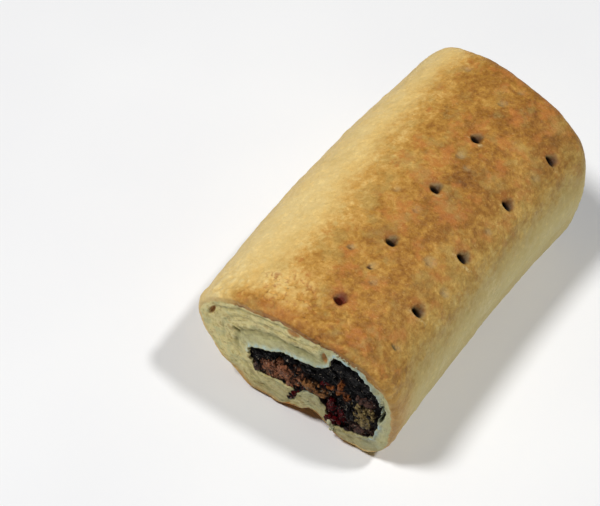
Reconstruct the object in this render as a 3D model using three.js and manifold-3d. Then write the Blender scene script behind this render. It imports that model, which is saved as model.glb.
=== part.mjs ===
// A sausage roll: one sheet of puff pastry wrapped round a dark minced filling, cut across at both ends.
//
// Millimetres. X runs across the roll, Y along it and Z up. The origin is on the ground, under the middle
// of the roll's box. The front cut faces -Y. The pastry is one solid and the filling, which runs through
// it from cut to cut, is the other.
import * as THREE from 'three';
import { LoftGeometry } from 'three/addons/geometries/LoftGeometry.js';
import { mergeVertices } from 'three/addons/utils/BufferGeometryUtils.js';
import Module from 'manifold-3d';

const wasm = await Module();
wasm.setup();

// ---- Driving dimensions ----

const LENGTH = 94;
const MID_HEIGHT = 20;

// Both cuts are a little askew: how far each runs along the roll for a millimetre across it and up it
const FRONT_CUT = { slant: 0.05, lean: -0.02 };
const BACK_CUT = { slant: -0.24, lean: 0.12 };

// The roll is slightly bent sideways, slightly fuller in the middle and slightly higher at the back
const BOW = 2.1;
const WAIST = 0.023;
const BACK_RISE = 0.011;

// How far the skin turns in at a cut, and over what length
const FRONT_EDGE = { inset: 1, length: 1.9 };
const BACK_EDGE = { inset: 4.9, length: 4.9 };
const EDGE_AT_GROUND = 0.3;

// Clearance between the filling and the cavity, and how far the filling sinks between the cuts
const FILLING_GAP = 0.3;
const FILLING_SINK = 1.6;

// Places round the cut, starting right of the seam underneath and going up the right side. Each gives the
// skin and the cavity as [x, z]. Skin below the ground is pressed flat against it.
const STATIONS = [
  { crust: [13, -0.6], cavity: [11.5, 7.3] },
  { crust: [20.5, 1.5], cavity: [18, 8] },
  { crust: [26, 7.5], cavity: [23, 11.5] },
  { crust: [28.8, 18], cavity: [25.1, 19] },
  { crust: [28.6, 29], cavity: [25.4, 29] },
  { crust: [25, 37.6], cavity: [22.3, 35.6] },
  { crust: [18, 41.4], cavity: [17, 38.6] },
  { crust: [11, 42.5], cavity: [12.3, 39.2] },
  { crust: [5.5, 42.6], cavity: [10, 32.8] },
  { crust: [-4, 42.2], cavity: [0, 28.6] },
  { crust: [-14, 39.8], cavity: [-8.5, 24.7] },
  { crust: [-24, 34.5], cavity: [-12.9, 21.8] },
  { crust: [-29, 25.5], cavity: [-13.6, 18] },
  { crust: [-25.8, 13.5], cavity: [-12.2, 13.4] },
  { crust: [-16.5, 2.9], cavity: [-9.5, 10.4] },
  { crust: [-8, -0.7], cavity: [0, 12.8] },
  { crust: [4, -0.6], cavity: [6.2, 16.2] },
  { crust: [8.5, -0.6], cavity: [9.2, 12] },
];

// Mesh density
const STEPS_PER_STATION = 4;
const SKIN_ROWS = 24;
const CAVITY_ROWS = 5;

// The seam between the two wraps shows as a groove in each cut: its place as a share of the wall, from the
// skin to the cavity, and the stations between which it runs. It drops towards the seam underneath.
const SEAM = { share: 0.7, shareAtFoot: 0.4, from: 8.6, to: 16.6, foot: 14, halfWidth: 0.9, deep: 2.4 };
const SKIN_LIP = { from: 7.5, to: 13, deep: 0.8 };
const OUTER_WRAP_ROWS = [0.07, 0.15, 0.24, 0.6, 1];
const INNER_WRAP_ROWS = [0, 0.55];
const LIP_ROW = 1;

// Waves in the baked skin: their height and their lengths across and along the roll
const SKIN_WAVE = { height: 0.25, across: 23, along: 31 };

// The open seam underneath: its outline at a cut, where the lip left of it curls up off the ground, and how
// it narrows and flattens between the cuts
const UNDERCUT_ARCH = [
  [25, -2], [22, 1.1], [18, 2.1], [14.2, 2.5], [11.7, 4], [10.3, 5.3], [9.2, 7], [7.3, 7.9],
  [5.8, 7.4], [4.4, 6], [1.4, 4.2], [-1.5, 2.7], [-3.1, 1.2], [-10, -2],
];
const UNDERCUT = { middle: 7.5, reach: 5, width: 0.14, height: 0.25, rows: 26 };

// Docking holes: two staggered rows of deep holes with shallow dents between them
const DOCKING_ROWS = [
  { x: 5.6, first: -36, pitch: 20, holes: 4, depth: 3.8, dentAfter: 12.4 },
  { x: 21.7, first: -27, pitch: 19, holes: 4, depth: 2.2, dentAfter: 10 },
];
const DOCKING_HOLE = { mouth: 2.3, neck: 1.1, tip: 0.7, flare: 1.3, sides: 12 };
const DENT = { radius: 1.7, depth: 0.6, sides: 8 };
const ODD_DENTS = [[-1, -21.6], [-1.8, -1.4], [8.6, 14], [16.4, -14], [9.7, -27], [-10.5, 43]];

// Gaps that the baking opened in the front cut, as [x, z], with width, height, tilt and depth
const CUT_GAPS = [
  { at: [-24.8, 28.6], width: 1.8, height: 5, tilt: -18, deep: 5 },
  { at: [-16.6, 25.2], width: 2.4, height: 2.4, tilt: 20, deep: 4 },
  { at: [27.2, 26.5], width: 0.9, height: 5, tilt: -4, deep: 4 },
  { at: [9.4, 36.8], width: 1.1, height: 3.6, tilt: 6, deep: 3 },
];

// Loose flakes of the top layer near the front cut: place, radius, turn and tilt
const FLAKES = [
  { x: -10.5, y: -41.5, radius: 3.2, turn: 20, tilt: 3 },
  { x: -4.8, y: -42.6, radius: 2.7, turn: 75, tilt: -4 },
  { x: 0.4, y: -40.6, radius: 2.4, turn: 140, tilt: 4 },
  { x: -7.2, y: -37.4, radius: 2.1, turn: 200, tilt: -3 },
  { x: 14.5, y: -43, radius: 1.9, turn: 310, tilt: 4 },
];
const FLAKE = { root: 0.9, lift: 0.28, sides: 11, raggedness: 0.17, stretch: 1.3 };

// The minced filling's face: cell size, how rough it is and how far it sits back from the cut
const MINCE = { cell: 2.3, rough: 1.15, recess: 0.8, overhang: 6 };

// ---- Section and length ----

function closedCurve(places) {
  const points = places.map(([x, z]) => new THREE.Vector3(x, 0, z));
  return new THREE.CatmullRomCurve3(points, true, 'centripetal');
}

const crustCurve = closedCurve(STATIONS.map((station) => station.crust));
const cavityCurve = closedCurve(STATIONS.map((station) => station.cavity));
const AROUND = STATIONS.length * STEPS_PER_STATION;

function smoothstep(low, high, value) {
  return THREE.MathUtils.smoothstep(value, low, high);
}

// 1 between two stations, falling to 0 over one station at each end
function between(station, from, to) {
  return smoothstep(from - 0.5, from + 0.5, station) * (1 - smoothstep(to - 0.5, to + 0.5, station));
}

function frontCut(x, z) {
  return -LENGTH / 2 + FRONT_CUT.slant * x + FRONT_CUT.lean * (z - MID_HEIGHT);
}

function backCut(x, z) {
  return LENGTH / 2 + BACK_CUT.slant * x + BACK_CUT.lean * (z - MID_HEIGHT);
}

// Stands a section point [x, z] at its place along the roll, from 0 at the front cut to 1 at the back one
function alongRoll(x, z, along) {
  const end = 2 * along - 1;
  const bend = end * end - 1 / 3;
  const across = x * (1 - WAIST * bend) + BOW * bend;
  const height = Math.max(0, z * (1 + BACK_RISE * end));
  const y = THREE.MathUtils.lerp(frontCut(across, height), backCut(across, height), along);
  return new THREE.Vector3(across, y, height);
}

function skinWave(around, y) {
  const across = around / SKIN_WAVE.across * 2 * Math.PI;
  const along = y / SKIN_WAVE.along * 2 * Math.PI;
  return SKIN_WAVE.height * (Math.sin(across + 1) * Math.sin(along) + Math.sin(1.6 * (across + along)) / 2);
}

// A point of the pastry's wall: index round the section, depth from 0 at the skin to 1 at the cavity, and
// the row's place along the roll with the inset of its edge
function wallPoint(index, depth, row) {
  const turn = index / AROUND;
  const crust = crustCurve.getPoint(turn);
  const cavity = cavityCurve.getPoint(turn);
  cavity.z -= FILLING_SINK * 4 * row.along * (1 - row.along);
  const middle = new THREE.Vector3(0, 0, MID_HEIGHT);
  const grounded = THREE.MathUtils.lerp(EDGE_AT_GROUND, 1, smoothstep(0, MID_HEIGHT, crust.z));
  const shrink = 1 - row.inset * grounded / crust.distanceTo(middle);
  const point = crust.clone().lerp(cavity, depth);
  point.sub(middle).multiplyScalar(shrink).add(middle);
  if (depth === 0) {
    const outward = crust.clone().sub(middle).normalize();
    const wave = skinWave(crust.x + crust.z, row.along * LENGTH) * smoothstep(1, 8, crust.z);
    point.addScaledVector(outward, wave);
  }
  return alongRoll(point.x, point.z, row.along);
}

// ---- Pastry ----

// The skin's rows from the front cut to the back one, rounded in at both
function skinRows() {
  const rows = [];
  for (const share of [0, 0.35]) {
    const inset = FRONT_EDGE.inset * (1 - share) ** 2;
    rows.push({ along: share * FRONT_EDGE.length / LENGTH, inset });
  }
  const start = FRONT_EDGE.length / LENGTH;
  const end = 1 - BACK_EDGE.length / LENGTH;
  for (let i = 0; i <= SKIN_ROWS; i += 1) {
    rows.push({ along: THREE.MathUtils.lerp(start, end, i / SKIN_ROWS), inset: 0 });
  }
  for (const degrees of [30, 60, 90]) {
    const angle = THREE.MathUtils.degToRad(degrees);
    const along = end + Math.sin(angle) * BACK_EDGE.length / LENGTH;
    rows.push({ along, inset: BACK_EDGE.inset * (1 - Math.cos(angle)) });
  }
  return rows;
}

function seamShare(station) {
  const drop = SEAM.share - SEAM.shareAtFoot;
  return SEAM.share - drop * smoothstep(SEAM.foot, SEAM.to, station);
}

// Across a cut face at one place round it: depths from the skin to the cavity, and how far each is sunk
function faceProfile(index) {
  const station = index / STEPS_PER_STATION;
  const turn = index / AROUND;
  const wall = crustCurve.getPoint(turn).distanceTo(cavityCurve.getPoint(turn));
  const seam = seamShare(station);
  const lip = Math.min(SEAM.halfWidth / wall, 0.12);
  const profile = OUTER_WRAP_ROWS.map((share) => ({ depth: share * (seam - lip), sunk: 0 }));
  profile[LIP_ROW].sunk = SKIN_LIP.deep * between(station, SKIN_LIP.from, SKIN_LIP.to);
  profile.push({ depth: seam, sunk: SEAM.deep * between(station, SEAM.from, SEAM.to) });
  for (const share of INNER_WRAP_ROWS) {
    profile.push({ depth: seam + lip + share * (1 - seam - lip), sunk: 0 });
  }
  return profile;
}

// The rings of one cut face, from the skin inwards; inward is +1 where the roll lies towards +Y
function faceRings(row, inward) {
  const rings = [];
  for (let k = 0; k < faceProfile(0).length; k += 1) {
    const ring = [];
    for (let index = 0; index < AROUND; index += 1) {
      const { depth, sunk } = faceProfile(index)[k];
      const point = wallPoint(index, depth, row);
      point.y += inward * sunk;
      ring.push(point);
    }
    rings.push(ring);
  }
  return rings;
}

function ringOf(depth, row) {
  return Array.from({ length: AROUND }, (unused, index) => wallPoint(index, depth, row));
}

// The cavity's rows from the front cut to the back one, which the filling shares
function cavityRows() {
  const skin = skinRows();
  const rows = [skin[0]];
  for (let i = 1; i < CAVITY_ROWS; i += 1) {
    rows.push({ along: i / CAVITY_ROWS, inset: 0 });
  }
  rows.push(skin[skin.length - 1]);
  return rows;
}

// The wall's rings come forward along the skin, in over the front cut, back through the cavity and out
// again over the back cut, and the first ring closes them
function pastryShell() {
  const skin = skinRows();
  const front = skin[0];
  const back = skin[skin.length - 1];
  const rings = [
    ...skin.map((row) => ringOf(0, row)).reverse(),
    ...faceRings(front, 1),
    ...cavityRows().map((row) => ringOf(1, row)),
    ...faceRings(back, -1).reverse(),
  ];
  rings.push(rings[0]);
  return toSolid(new LoftGeometry(rings));
}

// The open seam under the roll, deep at both cuts and shallow between them
function undercut() {
  const sections = [];
  const run = LENGTH / 2 + 8;
  for (let i = 0; i <= UNDERCUT.rows; i += 1) {
    const y = THREE.MathUtils.lerp(run, -run, i / UNDERCUT.rows);
    const fromCut = Math.max(0, LENGTH / 2 - Math.abs(y));
    const open = Math.exp(-fromCut / UNDERCUT.reach);
    const width = THREE.MathUtils.lerp(UNDERCUT.width, 1, open);
    const height = THREE.MathUtils.lerp(UNDERCUT.height, 1, open);
    sections.push(UNDERCUT_ARCH.map(([x, z]) => {
      const across = UNDERCUT.middle + (x - UNDERCUT.middle) * width;
      return new THREE.Vector3(across, y, z > 0 ? z * height : z);
    }));
  }
  return toSolid(new LoftGeometry(sections, { capStart: true, capEnd: true }));
}

// The skin's top point above a place on the ground plan, and the way out of the skin there
function onTop(x, y) {
  const along = y / LENGTH + 0.5;
  const row = { along, inset: 0 };
  let best = 0;
  let nearest = Infinity;
  for (let index = 0; index < AROUND; index += 1) {
    const point = wallPoint(index, 0, row);
    const miss = Math.abs(point.x - x);
    if (point.z > MID_HEIGHT && miss < nearest) {
      best = index;
      nearest = miss;
    }
  }
  const point = wallPoint(best, 0, row);
  const across = wallPoint(best + 1, 0, row).sub(wallPoint(best - 1, 0, row));
  const normal = new THREE.Vector3(-across.z, 0, across.x).multiplyScalar(-1).normalize();
  return { point: new THREE.Vector3(x, y, point.z), normal };
}

// Moves a tool made about the origin, pointing up +Y, to a place on top of the roll
function placedOnTop(geometry, x, y, tilt = 0) {
  const { point, normal } = onTop(x, y);
  const up = new THREE.Vector3(0, 1, 0);
  geometry.rotateX(THREE.MathUtils.degToRad(tilt));
  geometry.applyQuaternion(new THREE.Quaternion().setFromUnitVectors(up, normal));
  geometry.translate(point.x, point.y, point.z);
  return toSolid(geometry);
}

function dockingHole(x, y, depth) {
  const profile = [
    new THREE.Vector2(0, -depth),
    new THREE.Vector2(DOCKING_HOLE.tip, -depth),
    new THREE.Vector2(DOCKING_HOLE.neck, -DOCKING_HOLE.flare),
    new THREE.Vector2(DOCKING_HOLE.mouth, 0.1),
    new THREE.Vector2(DOCKING_HOLE.mouth, 2),
    new THREE.Vector2(0, 2),
  ];
  return placedOnTop(new THREE.LatheGeometry(profile, DOCKING_HOLE.sides), x, y);
}

function dent(x, y) {
  const profile = [
    new THREE.Vector2(0, -DENT.depth),
    new THREE.Vector2(DENT.radius * 0.6, -DENT.depth * 0.8),
    new THREE.Vector2(DENT.radius, 0.1),
    new THREE.Vector2(DENT.radius, 1.5),
    new THREE.Vector2(0, 1.5),
  ];
  return placedOnTop(new THREE.LatheGeometry(profile, DENT.sides), x, y);
}

function dockingMarks() {
  const marks = ODD_DENTS.map(([x, y]) => dent(x, y));
  for (const row of DOCKING_ROWS) {
    for (let i = 0; i < row.holes; i += 1) {
      const y = row.first + i * row.pitch;
      marks.push(dockingHole(row.x, y, row.depth));
      marks.push(dent(row.x, y + row.dentAfter));
    }
  }
  return marks;
}

function cutGap({ at: [x, z], width, height, tilt, deep }) {
  const geometry = new THREE.CylinderGeometry(0.5, 1, 1, 10);
  geometry.scale(width / 2, deep * 2, height / 2);
  geometry.rotateY(THREE.MathUtils.degToRad(tilt));
  geometry.translate(x, frontCut(x, z), z);
  return toSolid(geometry);
}

function flake({ x, y, radius, turn, tilt }) {
  const start = THREE.MathUtils.degToRad(turn);
  const sections = [];
  for (const height of [-FLAKE.root, FLAKE.lift]) {
    const ring = [];
    for (let i = 0; i < FLAKE.sides; i += 1) {
      const angle = start - i / FLAKE.sides * 2 * Math.PI;
      const ragged = Math.sin(3 * angle + radius * 5) + Math.sin(5 * angle + turn) / 2;
      const reach = radius * (1 + FLAKE.raggedness * ragged);
      ring.push(new THREE.Vector3(reach * FLAKE.stretch * Math.cos(angle), height, reach * Math.sin(angle)));
    }
    sections.push(ring);
  }
  return placedOnTop(new LoftGeometry(sections, { capStart: true, capEnd: true }), x, y, tilt);
}

function pastry() {
  let solid = pastryShell();
  for (const plate of FLAKES) {
    solid = solid.add(flake(plate));
  }
  for (const cutter of [undercut(), ...dockingMarks(), ...CUT_GAPS.map(cutGap)]) {
    solid = solid.subtract(cutter);
  }
  return solid;
}

// ---- Filling ----

// The cavity's outline at one row, shrunk by the clearance
function fillingRing(row) {
  const ring = ringOf(1, row);
  return ring.map((point, index) => {
    const before = ring[(index + AROUND - 1) % AROUND];
    const after = ring[(index + 1) % AROUND];
    const inward = new THREE.Vector3(before.z - after.z, 0, after.x - before.x).normalize();
    return point.clone().addScaledVector(inward, FILLING_GAP);
  });
}

// The filling before its ends are torn: it stands out past both cuts
function fillingPlug() {
  const rings = cavityRows().reverse().map(fillingRing);
  const shifted = (ring, y) => ring.map((point) => point.clone().setY(point.y + y));
  const first = shifted(rings[0], MINCE.overhang);
  const last = shifted(rings[rings.length - 1], -MINCE.overhang);
  return toSolid(new LoftGeometry([first, ...rings, last], { capStart: true, capEnd: true }));
}

// A repeatable number from 0 to 1 for each place
function scatter(x, z) {
  const wave = Math.sin(x * 12.99 + z * 78.23) * 43758.55;
  return wave - Math.floor(wave);
}

// A block between the two cuts whose ends are torn like mince
function tornBlock() {
  const width = 64;
  const height = 48;
  const across = Math.round(width / MINCE.cell);
  const up = Math.round(height / MINCE.cell);
  const geometry = new THREE.BoxGeometry(width, LENGTH, height, across, 1, up);
  geometry.translate(0, 0, height / 2 - 1);
  const position = geometry.getAttribute('position');
  for (let i = 0; i < position.count; i += 1) {
    const x = position.getX(i);
    const z = position.getZ(i);
    const crag = (2 * scatter(x, z) - 1) * MINCE.rough;
    const torn = MINCE.recess + crag;
    position.setY(i, position.getY(i) < 0 ? frontCut(x, z) + torn : backCut(x, z) - torn);
  }
  return toSolid(geometry);
}

function filling() {
  return fillingPlug().intersect(tornBlock());
}

// ---- Solids and meshes ----

function toSolid(geometry) {
  const bare = new THREE.BufferGeometry();
  bare.setAttribute('position', geometry.getAttribute('position'));
  bare.setIndex(geometry.getIndex());
  const merged = mergeVertices(bare, 1e-4);
  const mesh = new wasm.Mesh({
    numProp: 3,
    vertProperties: new Float32Array(merged.getAttribute('position').array),
    triVerts: new Uint32Array(merged.getIndex().array),
  });
  return new wasm.Manifold(mesh);
}

function toGeometry(solid) {
  const { vertProperties, triVerts } = solid.getMesh();
  const geometry = new THREE.BufferGeometry();
  geometry.setAttribute('position', new THREE.BufferAttribute(vertProperties, 3));
  geometry.setIndex(new THREE.BufferAttribute(triVerts, 1));
  geometry.computeVertexNormals();
  return geometry;
}

function piece(name, solid, look) {
  const mesh = new THREE.Mesh(toGeometry(solid), new THREE.MeshStandardMaterial(look));
  mesh.name = name;
  return mesh;
}

const pastryLook = { color: 0xc99a5b, roughness: 0.7, metalness: 0 };
const fillingLook = { color: 0x2e1c17, roughness: 0.35, metalness: 0 };

const roll = new THREE.Group();
roll.add(piece('pastry', pastry(), pastryLook));
roll.add(piece('filling', filling(), fillingLook));

const box = new THREE.Box3().setFromObject(roll);
const middle = box.getCenter(new THREE.Vector3());
roll.position.set(-middle.x, -middle.y, -box.min.z);

export default roll;
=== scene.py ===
import math
from collections import defaultdict

import bpy
import numpy as np
from mathutils import Euler, Matrix, Vector, noise


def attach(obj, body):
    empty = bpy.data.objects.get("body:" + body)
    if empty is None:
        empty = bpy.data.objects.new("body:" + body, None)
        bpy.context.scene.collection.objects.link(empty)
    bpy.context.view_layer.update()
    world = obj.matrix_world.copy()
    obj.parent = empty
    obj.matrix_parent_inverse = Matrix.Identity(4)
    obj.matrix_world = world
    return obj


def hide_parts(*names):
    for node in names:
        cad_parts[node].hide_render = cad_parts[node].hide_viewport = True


# A baked sausage roll: one sheet of puff pastry wrapped round dark mince, cut across at both ends.
# Pieces are shaped in millimetres about the roll's own section, then brought to the frame's metres.
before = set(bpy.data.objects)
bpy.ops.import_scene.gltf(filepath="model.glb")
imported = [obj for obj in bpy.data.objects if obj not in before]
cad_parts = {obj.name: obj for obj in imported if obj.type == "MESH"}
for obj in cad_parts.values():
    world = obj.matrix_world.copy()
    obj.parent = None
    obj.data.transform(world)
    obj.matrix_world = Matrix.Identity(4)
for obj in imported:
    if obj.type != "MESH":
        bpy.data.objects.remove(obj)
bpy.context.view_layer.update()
METRES = 0.001

# Without a seed of its own, the vector noise that bends the skin's flakes is another one on each run
NOISE_SEED = 1
noise.seed_set(NOISE_SEED)

# ---- The roll's form, in millimetres ----

LENGTH = 94
MID_HEIGHT = 20
ROLL_PLACE = (0.11, -2.35)
FRONT_CUT = {"slant": 0.05, "lean": -0.02}
BACK_CUT = {"slant": -0.24, "lean": 0.12}
BOW = 2.1
WAIST = 0.023
BACK_RISE = 0.011
FRONT_EDGE = {"inset": 1.0, "length": 1.9}
BACK_EDGE = {"inset": 4.9, "length": 4.9}
EDGE_AT_GROUND = 0.3
FILLING_SINK = 1.6
FILLING_GAP = 0.12

# Places round the cut, from right of the seam underneath and up the right side: skin, then cavity
STATIONS = [
    [(13, -0.6), (11.5, 7.3)], [(20.5, 1.5), (18, 8)], [(26, 7.5), (23, 11.5)],
    [(28.8, 18), (25.1, 19)], [(28.6, 29), (25.4, 29)], [(25, 37.6), (22.3, 35.6)],
    [(18, 41.4), (17, 38.6)], [(11, 42.5), (12.3, 39.2)], [(5.5, 42.6), (10, 32.8)],
    [(-4, 42.2), (0, 28.6)], [(-14, 39.8), (-8.5, 24.7)], [(-24, 34.5), (-12.9, 21.8)],
    [(-29, 25.5), (-13.6, 18)], [(-25.8, 13.5), (-12.2, 13.4)], [(-16.5, 2.9), (-9.5, 10.4)],
    [(-8, -0.7), (0, 12.8)], [(4, -0.6), (6.2, 16.2)], [(8.5, -0.6), (9.2, 12)],
]

# The open seam underneath: its arch at a cut, and how far it closes between the cuts
ARCH = [(2.76, 0), (3.6, 3), (5.6, 6.4), (8.2, 8), (10, 8.2), (10.9, 6.6), (11.6, 3), (12.06, 0)]
ARCH_OPEN = {"middle": 7.5, "reach": 5, "width": 0.4, "height": 0.25, "settle": 7}

# How high the underside stands off the ground at a cut, as x and z, and how far in it settles
CUT_LIFT = [(-16, 0), (-13, 1.4), (-10, 1.5), (-7, 1.0), (-4.8, 1.2), (-3, 2.7), (0, 4.3), (2, 5), (3, 6),
            (4.3, 7.4), (6, 7.9), (7.4, 7.6), (8.2, 6.2), (9, 5.3), (10.5, 4), (12, 2.9), (14, 2.5),
            (18, 2.1), (21, 1.6), (24, 0)]
LIFT_REACH = 5

# Mesh density: columns round the roll, and rows along each stretch of the sheet's section
COLUMNS = 288
ROWS = {"back edge": 8, "skin": 160, "front edge": 5, "front face": 50, "cavity": 14, "back face": 36}

# ---- Small tools ----


def smoothstep(low, high, value):
    share = np.clip((value - low) / (high - low), 0, 1)
    return share * share * (3 - 2 * share)


def lerp(start, end, share):
    return start + (end - start) * share


def closed_curve(points, turns):
    """Places on the smooth closed curve through the points, at turns from 0 to 1 round it."""
    places = np.array(points, float)
    count = len(places)
    start = np.floor(turns * count).astype(int) % count
    share = ((turns * count) % 1.0)[:, None]
    before, first, second, after = (places[(start + step) % count] for step in (-1, 0, 1, 2))

    def gap(one, other):
        return np.sqrt(np.linalg.norm(other - one, axis=-1))[:, None]

    lead, span, tail = gap(before, first), gap(first, second), gap(second, after)
    out = ((first - before) / lead - (second - before) / (lead + span) + (second - first) / span) * span
    into = ((second - first) / span - (after - first) / (span + tail) + (after - second) / tail) * span
    curve = first + out * share
    curve += (-3 * first + 3 * second - 2 * out - into) * share**2
    return curve + (2 * first - 2 * second + out + into) * share**3


def grain(places, size, seed=0.0, octaves=3):
    """Smooth noise from about -1 to 1 at each place, with lumps of about the given size."""
    shift = Vector((seed * 17.3, seed * 5.1, seed * 9.7))
    scaled = np.asarray(places, float) / size
    return np.array([noise.fractal(Vector(p) + shift, 1.0, 2.0, octaves) for p in scaled.tolist()])


def front_cut(x, z):
    return -LENGTH / 2 + FRONT_CUT["slant"] * x + FRONT_CUT["lean"] * (z - MID_HEIGHT)


def back_cut(x, z):
    return LENGTH / 2 + BACK_CUT["slant"] * x + BACK_CUT["lean"] * (z - MID_HEIGHT)


def along_roll(x, z, along):
    """Stands a section place at its place along the roll, from 0 at the front cut to 1 at the back one."""
    end = 2 * along - 1
    bend = end * end - 1 / 3
    across = x * (1 - WAIST * bend) + BOW * bend
    height = np.maximum(0, z * (1 + BACK_RISE * end))
    y = lerp(front_cut(across, height), back_cut(across, height), along)
    return np.stack([across, y + 0 * across, height], axis=-1)


def at_cut(x, z):
    """A section place as it stands at the front cut, where the roll is bowed and a little lower."""
    return x * (1 - WAIST * 2 / 3) + BOW * 2 / 3, z * (1 - BACK_RISE)


def from_cut(x, z):
    """The section place that stands at a place of a cut."""
    return (x - BOW * 2 / 3) / (1 - WAIST * 2 / 3), z / (1 - BACK_RISE)


def object_mode():
    if bpy.context.object and bpy.context.object.mode != "OBJECT":
        bpy.ops.object.mode_set(mode="OBJECT")


def take_only(piece):
    object_mode()
    bpy.ops.object.select_all(action="DESELECT")
    piece.select_set(True)
    bpy.context.view_layer.objects.active = piece


def add_mesh(kind, **settings):
    """Adds one of Blender's own meshes, with nothing else selected."""
    bpy.ops.object.select_all(action="DESELECT")
    getattr(bpy.ops.mesh, f"primitive_{kind}_add")(**settings)
    return bpy.context.object


def close_up(piece):
    """Merges places that meet, caps what is still open and turns the faces outward."""
    take_only(piece)
    bpy.ops.object.mode_set(mode="EDIT")
    bpy.ops.mesh.select_all(action="SELECT")
    bpy.ops.mesh.remove_doubles(threshold=1e-4)
    bpy.ops.mesh.fill_holes(sides=0)
    bpy.ops.mesh.select_all(action="SELECT")
    bpy.ops.mesh.normals_make_consistent(inside=False)
    object_mode()


def read_places(piece):
    places = np.empty(len(piece.data.vertices) * 3)
    piece.data.vertices.foreach_get("co", places)
    return places.reshape(-1, 3)


def write_places(piece, places):
    piece.data.vertices.foreach_set("co", np.asarray(places, np.float32).ravel())
    piece.data.update()


def read_normals(piece):
    normals = np.empty(len(piece.data.vertices) * 3, np.float32)
    piece.data.vertex_normals.foreach_get("vector", normals)
    return normals.reshape(-1, 3).astype(float)


def grid_steps(grid, columns, rows):
    """The column and the row on which each vertex of a flat grid stands."""
    flat = read_places(grid)
    return [np.rint((flat[:, i] + 0.5) * count).astype(int) for i, count in enumerate((columns, rows))]


# Marks are named values that a piece carries at each vertex: the field and width of each kind
MARK_KINDS = {"FLOAT": ("value", 1), "FLOAT_VECTOR": ("vector", 3), "FLOAT_COLOR": ("color", 4)}


def read_mark(piece, name):
    layer = piece.data.attributes[name]
    field, width = MARK_KINDS[layer.data_type]
    values = np.empty(len(layer.data) * width, np.float32)
    layer.data.foreach_get(field, values)
    return values.astype(float).reshape((-1, width) if width > 1 else -1)


def write_mark(piece, name, values, kind="FLOAT"):
    layer = piece.data.attributes.get(name) or piece.data.attributes.new(name, kind, "POINT")
    layer.data.foreach_set(MARK_KINDS[kind][0], np.asarray(values, np.float32).ravel())


def write_marks(piece, marks):
    for name, values in marks.items():
        write_mark(piece, name, values)


def to_frame(piece):
    """Brings a piece from the roll's millimetres to the frame's metres, its object at the origin."""
    write_places(piece, (read_places(piece) + [*ROLL_PLACE, 0]) * METRES)


# ---- The section, column by column ----

def crust_line(turns):
    return closed_curve([skin for skin, _ in STATIONS], turns)


def column_turns():
    """Turns at which the sheet's columns stand: even along the skin, closer where the seam's arch rises."""
    fine = np.linspace(0, 1, 4001)
    crust = crust_line(fine)
    steps = np.linalg.norm(np.diff(crust, axis=0), axis=1)
    middle = (crust[1:] + crust[:-1]) / 2
    under_arch = (middle[:, 1] <= 0) & (middle[:, 0] > ARCH[0][0]) & (middle[:, 0] < ARCH[-1][0])
    flat_base = (middle[:, 1] <= 0.5) & ~under_arch
    weight = 1 + 1.5 * under_arch - 0.35 * flat_base
    travelled = np.concatenate([[0], np.cumsum(steps * weight)])
    return np.interp(np.linspace(0, travelled[-1], COLUMNS + 1), travelled, fine)


def arch_line():
    """The seam's arch as closely spaced places, with each one's share of the way along it."""
    corners = np.array(ARCH, float)
    share = np.linspace(0, 1, 60)
    run = np.concatenate([[0], np.cumsum(np.linalg.norm(np.diff(corners, axis=0), axis=1))])
    x = np.interp(share * run[-1], run, corners[:, 0])
    z = np.interp(share * run[-1], run, corners[:, 1])
    kernel = np.array([1, 2, 3, 2, 1]) / 9
    x[2:-2] = np.convolve(x, kernel, "valid")
    z[2:-2] = np.convolve(z, kernel, "valid")
    return share, x, z


def lift_arch(crust, along):
    """The skin at one row, with the ground under the seam lifted along its arch."""
    behind_cut = max(0, LENGTH / 2 - abs((along - 0.5) * LENGTH))
    opening = math.exp(-behind_cut / ARCH_OPEN["reach"])
    width = lerp(ARCH_OPEN["width"], 1, opening)
    height = lerp(ARCH_OPEN["height"], 1, opening)
    left, middle, right = ARCH[0][0], ARCH_OPEN["middle"], ARCH[-1][0]
    share, arch_x, arch_z = arch_line()
    x, z = crust.T.copy()
    low = z < 2
    under = low & (x > left) & (x < right)
    run = (x[under] - left) / (right - left)
    for beside, edge, way in ((low & (x <= left), left, -1), (low & (x >= right), right, 1)):
        fade = np.clip(1 - way * (x[beside] - edge) / ARCH_OPEN["settle"], 0, 1) ** 2
        x[beside] += (middle - edge) * (1 - width) * fade
    x[under] = middle + (np.interp(run, share, arch_x) - middle) * width
    z[under] = np.interp(run, share, arch_z) * height
    lifted = np.interp(x, *np.array(CUT_LIFT).T)
    near_cut = math.exp(-((behind_cut / LIFT_REACH) ** 2)) * (1 - smoothstep(5, 9, crust[:, 1]))
    z = np.where(under, lerp(z, lifted, near_cut), lerp(z, np.maximum(z, lifted), near_cut))
    return np.stack([x, z], axis=1)


def cavity_stretches():
    """Places along the cavity, closest together at the cuts, with how far each is drawn in."""
    count = ROWS["cavity"]
    shares = [0.5 - 0.5 * math.cos(math.pi * i / count) for i in range(count + 1)]
    front, back = FRONT_EDGE["inset"], BACK_EDGE["inset"]
    return [(share, front * (1 - share) ** 8 + back * share**8) for share in shares]


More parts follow.
